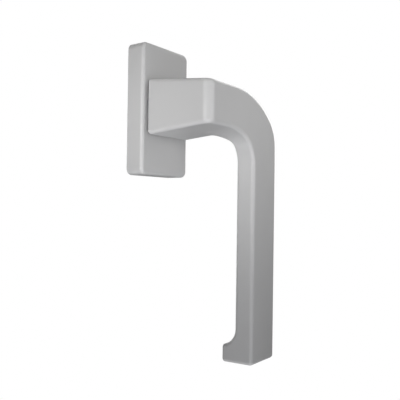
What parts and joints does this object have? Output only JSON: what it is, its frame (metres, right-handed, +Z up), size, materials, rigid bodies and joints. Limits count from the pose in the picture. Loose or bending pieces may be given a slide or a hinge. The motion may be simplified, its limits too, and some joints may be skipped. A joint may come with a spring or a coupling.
{
  "type": "lever handle",
  "caption": "Cranked lever handle on a rectangular rose for a tilt-and-turn window or balcony door, with a hooked grip, square spindle and detent base.",
  "frame": {"origin": "on the spindle's axis, in the face of the sash that the rose stands on", "axes": "+X to the right as seen from the room, +Y into the sash along the spindle, +Z up, with the grip hanging down"},
  "size_m": [0.0713, 0.0875, 0.1724],
  "materials": {
    "lever_paint": "matte",
    "cover_paint": "matte",
    "zinc_steel": "satin",
    "sintered_steel": "matte",
    "spring_steel": "satin",
    "dark_steel": "matte",
    "base_plastic": "matte",
    "bush_plastic": "satin"
  },
  "bodies": {
    "rose": {"rose_cover": "cover_paint", "base_housing": "base_plastic", "back_plate": "zinc_steel", "back_plate_screws": "zinc_steel", "bearing_bush": "bush_plastic", "detent_spring_upper": "spring_steel", "detent_spring_lower": "spring_steel", "fixing_screws": "zinc_steel"},
    "lever": {"lever": "lever_paint", "grub_screw": "dark_steel", "slide_ring": "bush_plastic", "spindle": "zinc_steel", "detent_cam": "sintered_steel"}
  },
  "joints": [
    {"name": "lever_turn", "type": "hinge", "parent": "rose", "child": "lever", "pos_m": [0, 0, 0], "axis": [0, -1, 0], "range_deg": [0, 180], "deforming": ["detent_spring_upper", "detent_spring_lower"]}
  ]
}
